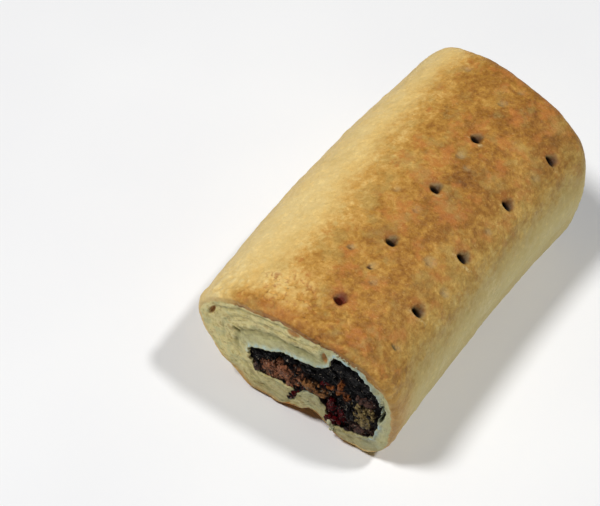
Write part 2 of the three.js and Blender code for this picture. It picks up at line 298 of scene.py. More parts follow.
def sheet_rows():
    """The rows of the closed sheet, each with its place along the roll, inset, depth and share of cut."""
    rows = []
    end = 1 - BACK_EDGE["length"] / LENGTH
    start = FRONT_EDGE["length"] / LENGTH
    count = ROWS["back edge"]
    for i in range(count):
        angle = math.pi / 2 * (1 - i / count)
        along = end + math.sin(angle) * BACK_EDGE["length"] / LENGTH
        rows.append((along, BACK_EDGE["inset"] * (1 - math.cos(angle)), 0, 0.5 * math.sin(angle) ** 6))
    for i in range(ROWS["skin"]):
        rows.append((lerp(end, start, i / ROWS["skin"]), 0, 0, 0))
    count = ROWS["front edge"]
    for i in range(count):
        share = 1 - i / count
        rows.append((share * start, FRONT_EDGE["inset"] * (1 - share) ** 2, 0, 0))
    count = ROWS["front face"]
    for i in range(count):
        rows.append((0, FRONT_EDGE["inset"], i / count, 1))
    for share, inset in cavity_stretches()[:-1]:
        rows.append((share, inset, 1, 1))
    count = ROWS["back face"]
    for i in range(count + 1):
        rows.append((1, BACK_EDGE["inset"], 1 - i / count, 1 if i < count else 0.5))
    return np.array(rows)


# Pastry that stands out into the mince along the cavity's lower edge
CAVITY_LOBE = {"x": -5.4, "rise": 1.6, "half": 3.4, "under": 17.5}

# Teeth of the dough's torn edge at the mince: how many round the cavity, their reach and how they drift
CAVITY_TEETH = [(31, 0.2, 0.5), (47, 0.1, 0.35)]
TOOTH_STEP = 0.001


def cavity_line(turns):
    inner = [inner for _, inner in STATIONS]
    cavity = closed_curve(inner, turns)
    ahead = closed_curve(inner, turns + TOOTH_STEP) - closed_curve(inner, turns - TOOTH_STEP)
    outward = np.stack([ahead[:, 1], -ahead[:, 0]], axis=1) / np.linalg.norm(ahead, axis=1)[:, None]
    for count, reach, drift in CAVITY_TEETH:
        angle = 2 * math.pi * (count * turns + drift * np.sin(2 * math.pi * 3 * turns + count))
        cavity = cavity + outward * reach * np.sin(angle)[:, None]
    near = np.exp(-(((cavity[:, 0] - CAVITY_LOBE["x"]) / CAVITY_LOBE["half"]) ** 2))
    under = smoothstep(CAVITY_LOBE["under"], CAVITY_LOBE["under"] - 3, cavity[:, 1])
    cavity[:, 1] += CAVITY_LOBE["rise"] * near * under
    return cavity


def wall_places(crust, cavity, row):
    """One row of the sheet: a place for each column."""
    along, inset, depth, _ = row
    skin = lift_arch(crust, along)
    inner = cavity.copy()
    inner[:, 1] -= FILLING_SINK * 4 * along * (1 - along)
    middle = np.array([0, MID_HEIGHT])
    grounded = lerp(EDGE_AT_GROUND, 1, smoothstep(0, MID_HEIGHT, skin[:, 1]))
    reach = np.linalg.norm(crust - middle, axis=1)
    shrink = (1 - inset * grounded / reach)[:, None]
    section = middle + (lerp(skin, inner, depth) - middle) * shrink
    return along_roll(section[:, 0], section[:, 1], along)


# ---- Relief of the cut faces ----

# Lines where wraps and layers part at a cut, as x and z along each, half width, depth and how dark
CUT_SEAMS = [
    {"line": [(-17.6, 16), (-17.5, 21), (-16.9, 25)], "half": 0.75, "deep": 0.5, "tint": 1},
    {"line": [(-16.9, 25), (-14.6, 27.6), (-11.5, 29.5), (-7, 31.3), (0, 32.9), (6.5, 34.2)],
     "half": 0.8, "deep": 0.5, "tint": 1.6},
    {"line": [(-21.6, 19), (-21.2, 27), (-17.5, 31.8), (-10, 34.8), (-2, 36.6), (6, 37.6)],
     "half": 0.35, "deep": 0.25, "tint": 1},
    {"line": [(-23.6, 31.4), (-17, 35.2), (-9, 38.0), (0, 39.7)], "half": 0.4, "deep": 0.4, "tint": 1},
    {"line": [(-15, 12), (-12.6, 7.4), (-8, 4.9), (-2, 4.6)], "half": 0.4, "deep": 0.3, "tint": 1},
]
# How much wider a seam's darker line is than its groove
SEAM_SPREAD = 2.0
FLAP = {"line": [(25.6, 29.6), (26.6, 26.5), (25.7, 21.8)], "half": 0.36, "deep": 2.8}
DRIP = {"line": [(4.6, 16.9), (2.2, 15), (0.4, 12.4), (-0.4, 9.6), (-1.5, 6.6)], "half": 0.75, "deep": 0.8}
CAVITY_STAIN = 0.9
CAVITY_LIP = {"reach": 1.2, "rise": 0.5}
LAMINATION = {"thick": 0.8, "long": 9, "deep": 0.09}
UNEVEN = {"size": 6, "deep": 0.45}
CRUMB = {"size": 1.2, "deep": 0.17}

# Gaps that baking opened in the front cut: half width, half height, tilt, depth, and how browned they are
FRONT_GAPS = [
    {"at": (-24.7, 28.3), "half": (0.6, 2.5), "tilt": -22, "deep": 1.5, "browned": 1.0},
    {"at": (-17.3, 25.3), "half": (0.9, 1.1), "tilt": 30, "deep": 1.8, "browned": 0.35},
    {"at": (9.3, 36.2), "half": (0.7, 2.1), "tilt": 6, "deep": 1.3, "browned": 1.0},
    {"at": (0.2, 39.4), "half": (1.8, 1.4), "tilt": 12, "deep": 0.4, "browned": 1.0},
]
VOIDS = {"count": 80, "stations": (7.3, 16.4), "shares": (0.06, 0.7), "long": (0.15, 0.6), "half": 0.2,
         "deep": 0.45}


def ellipse_dip(x, z, centre, half, tilt):
    """1 at the centre of a tilted oval, falling to 0 a little outside it."""
    turn = math.radians(tilt)
    dx, dz = x - centre[0], z - centre[1]
    across = dx * math.cos(turn) + dz * math.sin(turn)
    up = -dx * math.sin(turn) + dz * math.cos(turn)
    return np.exp(-(((across / half[0]) ** 2 + (up / half[1]) ** 2) ** 1.5))


def line_dip(section, seam):
    """1 on a seam's line at a cut, falling to 0 on both sides of it; the line wavers a little."""
    x, z = section[..., 0], section[..., 1]
    nearest = np.full(x.shape, 99.0)
    for (ax, az), (bx, bz) in zip(seam["line"], seam["line"][1:]):
        share = ((x - ax) * (bx - ax) + (z - az) * (bz - az)) / ((bx - ax) ** 2 + (bz - az) ** 2)
        share = np.clip(share, 0, 1)
        nearest = np.minimum(nearest, np.hypot(ax + share * (bx - ax) - x, az + share * (bz - az) - z))
    waver = 0.5 * np.sin(x * 1.9 + 2 * np.sin(z * 2.3)) * np.sin(z * 1.3 + 1.5 * np.sin(x))
    return np.exp(-((np.maximum(0, nearest + waver * seam["half"]) / seam["half"]) ** 2))


def face_relief(turns, depth, crust, cavity, seed):
    """How far a cut face is sunk at each place, and how far its lip at the mince stands out."""
    wall = np.linalg.norm(cavity - crust, axis=1)
    deep_in = depth * wall
    section = crust + (cavity - crust) * depth[..., None]
    hollow = np.zeros(depth.shape)
    for seam in CUT_SEAMS:
        along = section[..., 0] + section[..., 1]
        patchy = 0.75 + 0.25 * np.sin(along * 1.1 + seed) * np.sin(along * 0.37)
        hollow = np.maximum(hollow, seam["deep"] * patchy * line_dip(section, seam))
    draw = np.random.default_rng(seed)
    for _ in range(VOIDS["count"]):
        at = draw.uniform(*VOIDS["stations"]) / len(STATIONS)
        share = draw.uniform(*VOIDS["shares"])
        length = draw.uniform(*VOIDS["long"])
        column = np.searchsorted(turns, at)
        here = lerp(crust[column], cavity[column], share)
        beyond = lerp(crust[column - 1], cavity[column - 1], share)
        tilt = math.degrees(math.atan2(here[1] - beyond[1], here[0] - beyond[0]))
        dip = ellipse_dip(section[..., 0], section[..., 1], here, (length, VOIDS["half"]), tilt)
        hollow = hollow + draw.uniform(0.5, 1) * VOIDS["deep"] * dip
    edge = np.stack([cavity[:, 0], cavity[:, 1], np.full(len(cavity), seed)], axis=1)
    torn = np.clip(0.6 + 0.8 * grain(edge, 1.3, 15, 3), 0, 1.2)
    standing = CAVITY_LIP["rise"] * torn * smoothstep(wall - CAVITY_LIP["reach"], wall - 0.3, deep_in)
    return hollow, standing, section


def rolled_sheet():
    """The pastry: a grid whose rows run along the skin, in over the front cut, back through the cavity
    and out over the back cut, rolled round the mince and closed both ways."""
    turns = column_turns()
    crust, cavity = crust_line(turns), cavity_line(turns)
    rows = sheet_rows()
    count = len(rows) - 1
    sheet = add_mesh("grid", x_subdivisions=COLUMNS, y_subdivisions=count, size=1)
    sheet.name = "pastry_wrap"
    column, row = grid_steps(sheet, COLUMNS, count)

    places = np.stack([wall_places(crust, cavity, values) for values in rows])
    depth, cut = (np.repeat(rows[:, i:i + 1], COLUMNS + 1, axis=1) for i in (2, 3))
    skin_at_cut = lift_arch(crust, 0)
    wall = np.linalg.norm(cavity - skin_at_cut, axis=1)
    hollow, browned, stained, parted = (np.zeros_like(depth) for _ in range(4))
    is_front = (rows[:, 0] < 0.02) & (rows[:, 3] > 0)
    is_back = (rows[:, 0] > 0.999) & (rows[:, 3] > 0)
    for facing, inward, seed in ((is_front, 1, 11), (is_back, -1, 23)):
        sunk, standing, section = face_relief(turns, depth[facing], skin_at_cut, cavity, seed)
        if inward > 0:
            for gap in FRONT_GAPS:
                dip = ellipse_dip(section[..., 0], section[..., 1], gap["at"], gap["half"], gap["tilt"])
                sunk = np.maximum(sunk, gap["deep"] * dip)
                browned[facing] = np.maximum(browned[facing], gap["browned"] * dip)
            stained[facing] = line_dip(section, DRIP)
            sunk = np.maximum(sunk, FLAP["deep"] * line_dip(section, FLAP))
            sunk = np.maximum(sunk, DRIP["deep"] * stained[facing])
        wide = [{**seam, "half": SEAM_SPREAD * seam["half"]} for seam in CUT_SEAMS]
        parted[facing] = np.max([seam["tint"] * line_dip(section, seam) for seam in wide], axis=0)
        hollow[facing] = sunk
        places[facing, :, 1] += inward * (sunk - standing)
    in_cavity = (rows[:, 2] == 1) & (rows[:, 0] > 0.001) & (rows[:, 0] < 0.999)
    stained[in_cavity] = CAVITY_STAIN
    from_mince = (1 - depth) * wall
    around = (crust + cavity) / 2
    wrap = np.concatenate([np.repeat(around[None], len(rows), axis=0), (depth * wall)[..., None]], axis=2)
    inner_x, inner_z = cavity.T
    pale_edge = np.maximum(smoothstep(16, 21, inner_z), smoothstep(18, 22, inner_x))
    pale_edge = np.maximum(pale_edge, 0.8 * np.exp(-(((inner_x - 5) / 3.5) ** 2)))
    patchy = 0.75 + 0.25 * np.sin(2.1 * inner_x + 1.3 * inner_z)
    rim = patchy * np.exp(-((from_mince / 1.1) ** 2)) * pale_edge * (rows[:, 2:3] < 0.999)
    inner_wrap = (1 - smoothstep(3.5, 6.5, from_mince)) * pale_edge

    marks = {"cut": cut, "hollow": hollow, "browned": browned, "stained": stained, "parted": parted,
             "rim": rim, "inner_wrap": inner_wrap}
    write_places(sheet, places[row, column])
    write_marks(sheet, {name: values[row, column] for name, values in marks.items()})
    write_mark(sheet, "wrap", wrap[row, column], "FLOAT_VECTOR")
    close_up(sheet)
    return sheet


# ---- Relief of the skin ----

# Docking holes as x, y and turn: two rows of deep ones, and shallow marks where the pins hardly went in,
# each mark with how dark the painted shade on its near edge is
DEEP_HOLES = [(4.5, 22.9, -22), (5.3, 3.9, -20), (5.9, -15.4, -20), (5.9, -35.9, -20)]
SIDE_HOLES = [(22.3, 30.2, -12), (21.3, 11.9, -6), (21.3, -7.5, -12), (21.5, -26.4, -8)]
DENTS = [(-10.5, 42.9, 0), (3.9, 36.7, 0.2), (5.7, 42.7, 0), (4.7, 16.4, 0.1), (8.2, 13.9, 0),
         (-1.8, -1.4, 0), (5.6, -3.7, 0.1), (-0.3, -21.6, 0.5), (6.8, -23.5, 0.9), (23, -36.4, 0.5),
         (9.7, -27.1, 0.1), (23.1, -17.4, 0), (21.9, 3.1, 0), (22.2, 23.5, 0.1)]
WIDE_DENT = (16.4, -14, 0.1)
PIT = {"slit": (1.35, 0.6, 0.95), "funnel": (1.85, 0.95, 2.9), "halo": (-1.2, 1.4)}
# The crescent of painted shade on each dent's near edge: its shift, turn and drop
CRESCENT = {"shift": (-0.5, -0.55), "turn": -20, "drop": (1.0, 0.6, 0.4)}
RUDDY_HOLE = 3
PATCH = {"x": -5.5, "y": -40.5, "half": (10, 6.5), "plate": 2.4, "lift": 0.55, "crack": 0.45}
PINHOLES = [(-9.4, -42.7, 0.42), (-5.3, -39.9, 0.28), (-1.5, -37.6, 0.22), (2.5, -44.2, 0.25)]

# Waves and lumps of the whole skin: the height, size, seed and octaves of each
SKIN_WAVES = [(0.22, 12, 1, 2), (0.17, 3.4, 2, 3), (0.1, 1.6, 3, 2)]
BLISTER_HEIGHT = 0.34


def near_top(places, x, y):
    across = np.hypot(places[:, 0] - x, places[:, 1] - y)
    return np.where(places[:, 2] > MID_HEIGHT, across, 99.0)


def drop_reach(places, hole, drop):
    """0 at a docking hole and 1 on the rim of a drop round it: half its width, then its reach towards the
    front cut and away from it."""
    x, y, turn = hole
    half, near, far = drop
    turn = math.radians(turn)
    dx, dy = places[:, 0] - x, places[:, 1] - y
    across = dx * math.cos(turn) + dy * math.sin(turn)
    along = dy * math.cos(turn) - dx * math.sin(turn)
    uneven = 1 + 0.1 * np.sin(across * 1.9 + x) * np.sin(along * 2.3 + y)
    reach = np.hypot(across / half, along / np.where(along < 0, near, far)) * uneven
    return np.where(places[:, 2] > MID_HEIGHT, reach, 99.0)


def refine(sheet, chosen, cuts=1):
    """Splits the faces whose middles are chosen."""
    take_only(sheet)
    bpy.ops.object.mode_set(mode="EDIT")
    bpy.ops.mesh.select_all(action="DESELECT")
    bpy.ops.mesh.select_mode(type="FACE")
    object_mode()
    middles = np.empty(len(sheet.data.polygons) * 3, np.float32)
    sheet.data.polygons.foreach_get("center", middles)
    sheet.data.polygons.foreach_set("select", chosen(middles.reshape(-1, 3).astype(float)))
    bpy.ops.object.mode_set(mode="EDIT")
    bpy.ops.mesh.subdivide(number_cuts=cuts)
    object_mode()


def oval_reach(x, y, spot):
    """0 at the middle of a spot and 1 on its edge, for a spot with x, y and its half sizes."""
    return np.hypot((x - spot["x"]) / spot["half"][0], (y - spot["y"]) / spot["half"][1])


def patch_share(places):
    x, y, z = places.T
    return (1 - smoothstep(0.65, 1.1, oval_reach(x, y, PATCH))) * (z > MID_HEIGHT)


def rough_share(places):
    """1 where the skin is blistered and flaky: along the front cut, most of all left of the middle."""
    x, y, z = places.T
    front = (1 - smoothstep(-42, -24, y + 0.3 * np.abs(x))) * smoothstep(29, 36, z)
    return np.maximum(patch_share(places), front)


def behind_front(places):
    """Whether each place lies on the skin behind the front cut's edge."""
    return places[:, 1] > front_cut(places[:, 0], places[:, 2]) + FRONT_EDGE["length"]


def refine_skin(sheet):
    """A finer mesh round the docking holes, and where the skin is rough."""
    holes = DEEP_HOLES + SIDE_HOLES
    for reach in (3.2, 1.7):
        refine(sheet, lambda middles: np.min([near_top(middles, x, y) for x, y, _ in holes], 0) < reach)
    refine(sheet, lambda middles: (rough_share(middles) > 0.3) & behind_front(middles))


def flaky_plates(places, flaky):
    """Plates of the flaky patch: how far each stands up, how light it is, and the cracks between them."""
    plates, flake, crack = np.zeros((3, len(places)))
    for i in np.nonzero(flaky > 0.01)[0]:
        at = Vector(places[i] / PATCH["plate"]) + Vector((0, 0, 4.2))
        reach, middles = noise.voronoi(at + noise.noise_vector(at * 1.6) * 0.45)
        step = noise.noise(middles[0] * 3.7)
        open_crack = (1 - smoothstep(0.0, 0.16, reach[1] - reach[0])) * (noise.noise(at * 0.9) > -0.05)
        plates[i] = PATCH["lift"] * step - PATCH["crack"] * open_crack
        flake[i] = 0.5 + step
        crack[i] = open_crack * (step > -0.1)
    return plates, flake, crack


def dock(places, rise):
    """Presses the docking holes, pinholes and dents into the skin's rise, and marks them, with painted shade
    and shadow inside them and painted highlights on the holes' near rims.
    """
    pit, hole, slope, ruddy, lip, dent = np.zeros((6, len(places)))
    for i, place in enumerate(DEEP_HOLES + SIDE_HOLES):
        x, y, _ = place
        slit = drop_reach(places, place, PIT["slit"])
        funnel = drop_reach(places, place, PIT["funnel"])
        rise = rise - 2.4 * np.clip(1 - slit, 0, 1) ** 0.8 - 1.5 * np.clip(1 - funnel, 0, 1) ** 1.2
        share = 0.25 if i == RUDDY_HOLE else 1
        # Painted shadow: the inside of each hole near black, less so in the ruddy one
        hole = np.maximum(hole, share * (1 - smoothstep(0.75, 1.1, slit)))
        # Painted shade down each hole's funnel walls
        slope = np.maximum(slope, 1 - smoothstep(0.2, 1.25, funnel))
        ruddy = np.maximum(ruddy, (i == RUDDY_HOLE) * (1 - smoothstep(0.45, 1.35, funnel)))
        rim = np.exp(-(((funnel - 1.3) / 0.28) ** 2)) * (places[:, 1] < y - 0.3)
        rise = rise + 0.1 * rim
        # Painted highlight on the raised near rim of each hole
        lip = np.maximum(lip, (0.6 + 0.4 * math.sin(3 * x)) * rim)
        halo_x, halo_y = PIT["halo"]
        pit = np.maximum(pit, 1 - smoothstep(0.5, 3.2, near_top(places, x + halo_x, y + halo_y)))
    for x, y, radius in PINHOLES:
        reach = near_top(places, x, y) / radius
        rise = rise - 3 * radius * np.clip(1 - reach, 0, 1)
        # Painted shadow inside each pinhole
        hole = np.maximum(hole, 1 - smoothstep(0.3, 0.9, reach))
    for i, (x, y, dark) in enumerate(DENTS + [WIDE_DENT]):
        radius = 1.25 + 0.25 * math.sin(i * 2.4) if i < len(DENTS) else 2.0
        away = near_top(places, x, y) / radius
        rise = rise - 0.4 * (1 - smoothstep(0.2, 1.0, away))
        dent = np.maximum(dent, (0.75 + 0.25 * math.cos(i * 1.7)) * (1 - smoothstep(0.45, 1.05, away)))
        # Painted shade and shadow on the near edge of each dent
        shift_x, shift_y = CRESCENT["shift"]
        near_edge = (x + shift_x, y + shift_y, CRESCENT["turn"])
        crescent = 1 - smoothstep(0.5, 1.1, drop_reach(places, near_edge, CRESCENT["drop"]))
        rise = rise - 0.5 * dark * crescent
        slope = np.maximum(slope, (0.3 + 0.7 * dark) * crescent)
        hole = np.maximum(hole, 0.7 * dark * smoothstep(0.5, 1, crescent))
    return rise, {"pit": pit, "dent": dent, "hole": hole, "slope": slope, "ruddy": ruddy, "lip": lip}


def raise_skin(sheet):
    """Waves, lumps and puckers of the baked skin, flaking plates, docking holes, and the cuts' layers."""
    refine_skin(sheet)
    places, normals = read_places(sheet), read_normals(sheet)
    wrap = read_mark(sheet, "wrap")
    on_cut = np.clip(read_mark(sheet, "cut") * 2, 0, 1)
    skin = 1 - on_cut
    rough, flaky = rough_share(places), patch_share(places)
    blisters = grain(places, 1.5, 4, 4)
    plates, flake, crack = flaky_plates(places, flaky)
    rise = sum(height * grain(places, *wave) for height, *wave in SKIN_WAVES)
    rise, marks = dock(places, rise + BLISTER_HEIGHT * rough * blisters + flaky * plates)
    free = skin * smoothstep(0.4, 6, places[:, 2])
    moved = places + normals * (free * rise)[:, None]

    facing = np.where(places[:, 1] < 0, 1, -1)
    flat = places * [1, 0, 1]
    layer_sizes = [LAMINATION["long"], LAMINATION["long"], LAMINATION["thick"]]
    layers = LAMINATION["deep"] * grain(wrap / layer_sizes, 1, 5, 3)
    uneven = UNEVEN["deep"] * grain(flat + facing[:, None] * 30, UNEVEN["size"], 6, 2)
    uneven += CRUMB["deep"] * grain(flat + facing[:, None] * 50, CRUMB["size"], 7, 2)
    on_face = on_cut * (wrap[:, 2] >= 0) * (np.abs(normals[:, 1]) > 0.3)
    moved[:, 1] += facing * on_face * (layers + uneven)
    moved[:, 2] = np.maximum(moved[:, 2], 0)
    write_places(sheet, moved)
    marks["flake"] = np.maximum(flaky * flake, 1.1 * rough * blisters)
    marks["crack"] = flaky * crack
    write_marks(sheet, {name: values * skin for name, values in marks.items()})


SCUFF = {"x": 28.5, "y": -4, "half": (2.2, 6)}

# Places where the skin is browner or paler than the rest: x, y, half width, half length and how much
TONE_SPOTS = [
    (4, -38, 18, 10, -0.12), (-8, 8, 9, 20, -0.12), (-13, -20, 8, 17, -0.22), (28, 20, 4, 40, -0.12),
    (11, 6, 7, 12, 0.1), (2, 38, 14, 9, 0.07), (14, -12, 7, 8, -0.06), (21, -42, 7, 6, 0.18),
    (24, 35, 5, 10, 0.12), (-10, -45.8, 7, 1.6, 0.3), (18, -36, 4, 5, 0.12), (23, 24.5, 4, 6, 0.13),
    (-0.5, -30, 4, 4, -0.08),
]


def bell(value, middle, half):
    return np.exp(-(((value - middle) / half) ** 2))


def bake_colour(sheet):
    """Marks how brown the skin is at each place, 0 pale dough and 1 the darkest crust, and its tints."""
    x, y, z = read_places(sheet).T
    top = z > MID_HEIGHT
    right_side = np.where(x > 12, lerp(1, smoothstep(21, 42, z), smoothstep(12, 22, x)), 1)
    brown = smoothstep(-24, -5, x) * right_side
    bake = 0.1 + 0.52 * brown + 0.1 * bell(x, 11, 12) * brown
    for spot_x, spot_y, half_x, half_y, by in TONE_SPOTS:
        away = ((x - spot_x) / half_x) ** 2 + ((y - spot_y) / half_y) ** 2
        bake = bake + by * np.exp(-away) * top
    bake += 0.16 * (1 - smoothstep(-46, -36, y)) * (x > 24) * (z < 30)
    bake -= 0.3 * read_mark(sheet, "flake")

    near_front = 1 - smoothstep(-46, -33, y)
    olive = smoothstep(13, 27, x) * (1 - 0.35 * smoothstep(30, 42, z)) * (1 - 0.6 * near_front)
    far_right = smoothstep(22, 27, x) * smoothstep(4, 12, z)
    shaded = smoothstep(-20, 24, x + 0.9 * (MID_HEIGHT - z)) * (1 - 0.6 * far_right)
    scuffed = (1 - smoothstep(0.3, 1, oval_reach(x, y, SCUFF))) * top
    edge = bell(x, -4, 7) * (1 - smoothstep(-46, -42.5, y)) * top
    corner = bell(z, 16, 15) * (1 - smoothstep(-47, -35, y)) * (x > 18)
    on_cut = np.clip(2 * read_mark(sheet, "cut"), 0, 1)
    top_left = bell(x, -9, 12) * top
    lower_left = bell(x, -14, 11) * (z < MID_HEIGHT)
    top_right = smoothstep(-2, 6, x) * smoothstep(33, 37, z)
    low_right = smoothstep(22, 26, x) * (1 - smoothstep(12, 18, z))
    near_skin = 1 - smoothstep(0.6, 3.2, read_mark(sheet, "wrap")[:, 2])
    write_marks(sheet, {
        # The scuff on the right side, joined by the painted highlights on the holes' near rims
        "bake": bake, "olive": olive, "shaded": shaded, "scuff": np.maximum(scuffed, read_mark(sheet, "lip")),
        "reddened": np.maximum(edge, 1.5 * corner),
        "curl": 0.3 + on_cut * (1.6 * top_left + 0.7 * lower_left + 1.4 * top_right - 0.5 * low_right),
        "golden": lower_left * (1 - smoothstep(6, 13, z)) * near_skin,
    })


# ---- The mince ----

MINCE = {"recess": 1.3, "flush": 0.4, "rough": 0.6, "lump": 2.6, "crumb": 0.36, "crumb_size": 0.8, "cuts": 96}

# Kinds of mince and where each shows at the cut: x, z, half width, half height, how far it stands out
ZONES = [(kind, *zone) for kind, zones in {
    "brown_meat": [(-6.8, 14.4, 2.7, 3.8, 0.7), (-3.2, 15.4, 3.2, 4.6, 1.0), (0.8, 17.4, 2.8, 4.2, 0.9)],
    "olive_meat": [(5.4, 17.6, 3.6, 1.9, 0.9)],
    "amber_bits": [(13.0, 24.2, 0.9, 3.5, 0.5), (14.6, 20.8, 0.7, 2.1, 0.4), (9.8, 21.6, 1.7, 0.9, 0.3)],
    "burgundy_bits": [(10.2, 10.8, 1.5, 5.4, 0.5), (13.3, 10.2, 1.1, 4.8, 0.6), (8.2, 21.6, 1.2, 1.6, 0.1)],
    "pale_bits": [(19.4, 17.6, 2.6, 4.2, 1.3), (21.6, 20.0, 1.2, 2.6, 1.0)],
    "purple_bits": [(18.6, 10.6, 2.8, 3.0, 0.6), (21.4, 12.6, 1.7, 3.2, 0.3), (20.0, 24.4, 2.2, 1.4, 0.5),
                    (-11.6, 12.8, 1.0, 2.4, 0.2)],
}.items() for zone in zones]
# Painted shade: the near-black tone of the pits scattered through the mince
PIT_SHADE_TONE = (3, 3, 4)
MINCE_TONES = {
    "dark_bits": [(2, 2, 3), (15, 12, 14)],
    "brown_meat": [(42, 24, 18), (172, 112, 80)],
    "olive_meat": [(48, 30, 18), (162, 112, 68)],
    "amber_bits": [(46, 20, 12), (166, 96, 48)],
    "burgundy_bits": [(10, 3, 5), (92, 16, 20)],
    "pale_bits": [(50, 38, 20), (152, 132, 86)],
    "purple_bits": [(26, 17, 20), (98, 70, 60)],
}


def closed_tube(name, rings):
    """A grid rolled into a tube through the rings and capped at both ends."""
    columns, last = len(rings[0]), len(rings) - 1
    tube = add_mesh("grid", x_subdivisions=columns, y_subdivisions=last, size=1)
    tube.name = name
    column, row = grid_steps(tube, columns, last)
    write_places(tube, np.stack(rings)[row, column % columns])
    close_up(tube)
    return tube


def cavity_ring(along, inset, columns=240):
    """The mince's outline at one row: the cavity less its clearance."""
    turns = np.linspace(0, 1, columns, endpoint=False)
    ring = wall_places(crust_line(turns), cavity_line(turns), (along, inset, 1, 1))
    before, after = np.roll(ring, 1, axis=0), np.roll(ring, -1, axis=0)
    inward = np.stack([before[:, 2] - after[:, 2], 0 * ring[:, 0], after[:, 0] - before[:, 0]], axis=1)
    inward /= np.linalg.norm(inward, axis=1)[:, None]
    return ring + inward * FILLING_GAP


def plug(name, overhang=4):
    """The mince before its ends are torn, standing out past both cuts."""
    rings = [cavity_ring(*stretch) for stretch in cavity_stretches()]
    return closed_tube(name, [rings[0] - [0, overhang, 0]] + rings + [rings[-1] + [0, overhang, 0]])


def zone_share(x, z, zone, soft=0.3):
    """1 inside a zone of the mince, 0 outside it, over a soft ragged border."""
    _, zone_x, zone_z, half_x, half_z, _ = zone
    reach = np.hypot((x - zone_x) / half_x, (z - zone_z) / half_z)
    ragged = 0.35 * np.sin(x * 2.7 + z * 1.9) * np.sin(z * 3.1 - x * 1.3)
    ragged += 0.3 * np.sin(x * 5.3 - z * 4.1) * np.sin(z * 6.1 + x * 2.2)
    return 1 - smoothstep(1 - soft, 1 + soft, reach + ragged)


def torn_depth(places):
    """How far the mince's torn end lies behind the cut."""
    x, z = from_cut(places[:, 0], places[:, 2])
    recess = lerp(MINCE["flush"], MINCE["recess"], smoothstep(-11, -5, x))
    torn = recess + MINCE["rough"] * recess * grain(places, MINCE["lump"], 8, 3)
    torn += MINCE["crumb"] * grain(places, MINCE["crumb_size"], 9, 2)
    for zone in ZONES:
        torn -= zone[-1] * zone_share(x, z, zone, 0.4)
    return np.maximum(torn, 0.1)


# How far along the roll, both ways, the noise of the torn ends is read
TORN_PLANE = 40.0


def torn_block():
    """A block between the cuts whose ends are torn like mince."""
    block = add_mesh("cube", size=1, location=(6, 0, 22))
    block.scale = (42, LENGTH, 36)
    bpy.ops.object.transform_apply(location=True, rotation=False, scale=True)
    refine(block, lambda middles: np.abs(middles[:, 1]) > 1, MINCE["cuts"])
    places = read_places(block)
    x, y, z = places.T
    torn = torn_depth(np.stack([x, np.sign(y) * TORN_PLANE, z], axis=1))
    places[:, 1] = np.where(y < 0, front_cut(x, z) + torn, back_cut(x, z) - torn)
    write_places(block, places)
    return block


def blend_tones(piece):
    """Gives every place of the mince a tone from the kinds that meet there, and near-black pits of painted
    shade.
    """
    places = read_places(piece)
    x, z = from_cut(places[:, 0], places[:, 2])
    light = smoothstep(-0.35, 0.35, grain(places, 0.7, 12, 2))[:, None]

    def shade(kind):
        return lerp(*(np.array(tone(*colour)) for colour in MINCE_TONES[kind]), light)

    colours = shade("dark_bits")
    for zone in ZONES:
        colours = lerp(colours, shade(zone[0]), zone_share(x, z, zone)[:, None])
    # Pits of painted shade, scattered at random through the mince
    shade_pits = smoothstep(0.05, 0.32, grain(places, 1.3, 13, 3))[:, None]
    colours = lerp(colours, np.array(tone(*PIT_SHADE_TONE)), 0.9 * shade_pits)
    write_mark(piece, "mince_tone", colours, "FLOAT_COLOR")


def mince_core():
    core = plug("mince_core")
    block = torn_block()
    take_only(core)
    tear = core.modifiers.new("tear", "BOOLEAN")
    tear.operation = "INTERSECT"
    tear.object = block
    tear.solver = "EXACT"
    bpy.ops.object.modifier_apply(modifier=tear.name)
    bpy.data.objects.remove(block)
    if not core.data.polygons:
        raise RuntimeError("the torn mince came out empty")
    blend_tones(core)
    return core


def sort_faces(lump):
    """Gives a lump its faces in a fixed order, as Blender's spheres list them in another one on each run."""
    faces = []
    for face in lump.data.polygons:
        corners = list(face.vertices)
        first = corners.index(min(corners))
        faces.append(corners[first:] + corners[:first])
    mesh = bpy.data.meshes.new(lump.name)
    mesh.from_pydata(read_places(lump).tolist(), [], sorted(faces))
    lump.data = mesh


# The spheres that lumps are made from: how many of each, and how fine
LUMPS = {
    "chunk": (3, "ico_sphere", {"subdivisions": 4}),
    "bit": (5, "uv_sphere", {"segments": 8, "ring_count": 5}),
    "grit": (3, "ico_sphere", {"subdivisions": 1}),
}


def lump_shapes():
    """Knobbly lumps about two millimetres across to copy: a few fine ones, plainer ones and the smallest."""
    shapes = {}
    for kind, (count, sphere, fineness) in LUMPS.items():
        shapes[kind] = [add_mesh(sphere, radius=1, **fineness) for _ in range(count)]
        for i, lump in enumerate(shapes[kind]):
            places = read_places(lump)
            swell = 1 + 0.4 * grain(places, 1.1, 20 + i, 2)
            if kind == "chunk":
                swell += 0.14 * grain(places, 0.28, 30 + i, 3)
            write_places(lump, places * swell[:, None])
            sort_faces(lump)
    return shapes


def copy_lump(lump, stand):
    copy = bpy.data.objects.new(lump.name, lump.data.copy())
    copy.matrix_world = stand
    bpy.context.scene.collection.objects.link(copy)
    return copy


def set_lump(lump, place, size, stretch, flat, draw):
    """Copies a lump, turned any way, squashed along the roll and set at its place."""
    turn = Euler(draw.uniform(0, 2 * math.pi, 3)).to_matrix().to_4x4()
    sized = Matrix.Diagonal((size * stretch, size, size, 1))
    return copy_lump(lump, Matrix.Translation(place) @ Matrix.Diagonal((1, flat, 1, 1)) @ turn @ sized)


